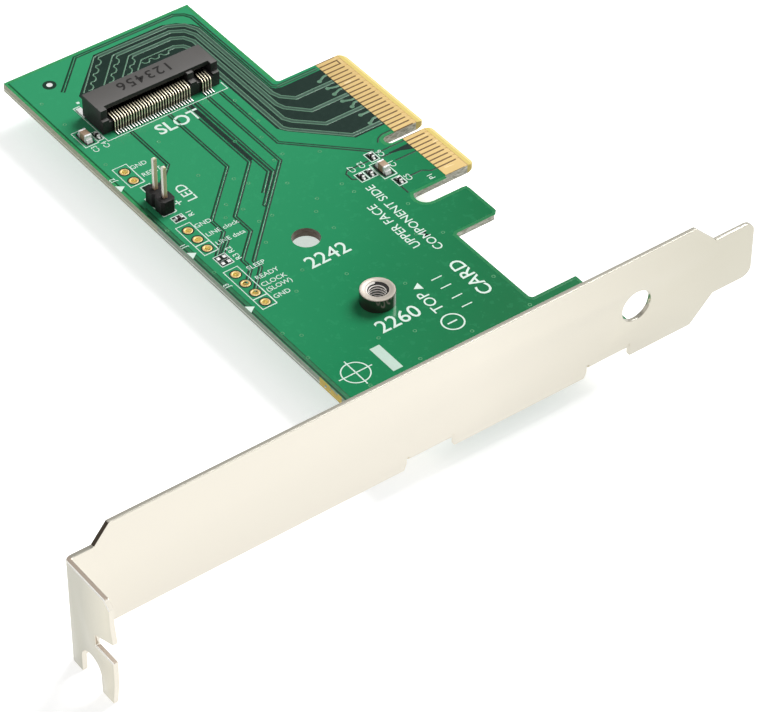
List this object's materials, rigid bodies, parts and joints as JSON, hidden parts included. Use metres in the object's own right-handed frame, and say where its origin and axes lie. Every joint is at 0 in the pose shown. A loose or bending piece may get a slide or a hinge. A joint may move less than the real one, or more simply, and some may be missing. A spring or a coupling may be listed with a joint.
{
  "type": "nvme adapter card",
  "caption": "Short expansion card that carries a solid-state module: edge connector, module socket with standoff, pin header and a full-height slot bracket.",
  "frame": {"origin": "middle of the key notch on the insertion edge, at the board's solder-side face", "axes": "+X along the card away from the bracket, +Y away from the insertion edge, +Z out of the component side"},
  "size_m": [0.1159, 0.1201, 0.0222],
  "materials": {
    "green_board": "solder mask over glass-fibre laminate",
    "gold_plate": "gold plated",
    "bright_steel": "bright nickel plated",
    "black_plastic": "moulded, fine matt",
    "contact_alloy": "flash gold",
    "tin": "tinned",
    "brown_ceramic": "fired ceramic",
    "dark_ceramic": "coated"
  },
  "bodies": {
    "root": {"circuit_board": "green_board", "edge_contacts_component_side": "gold_plate", "edge_contacts_solder_side": "gold_plate", "bracket": "bright_steel", "board_screws": "bright_steel", "standoff": "bright_steel", "standoff_screw": "bright_steel", "socket_housing": "black_plastic", "socket_front_contacts": "contact_alloy", "socket_rear_contacts": "contact_alloy", "socket_hold_downs": "tin", "header_block": "black_plastic", "header_pins": "contact_alloy", "header_solder_joints": "tin", "large_capacitor_bodies": "brown_ceramic", "large_capacitor_caps": "tin", "small_capacitor_bodies": "dark_ceramic", "small_capacitor_caps": "tin", "resistor_body": "dark_ceramic", "resistor_caps": "tin", "bare_solder_pads": "tin", "alignment_target": "gold_plate"}
  },
  "joints": []
}
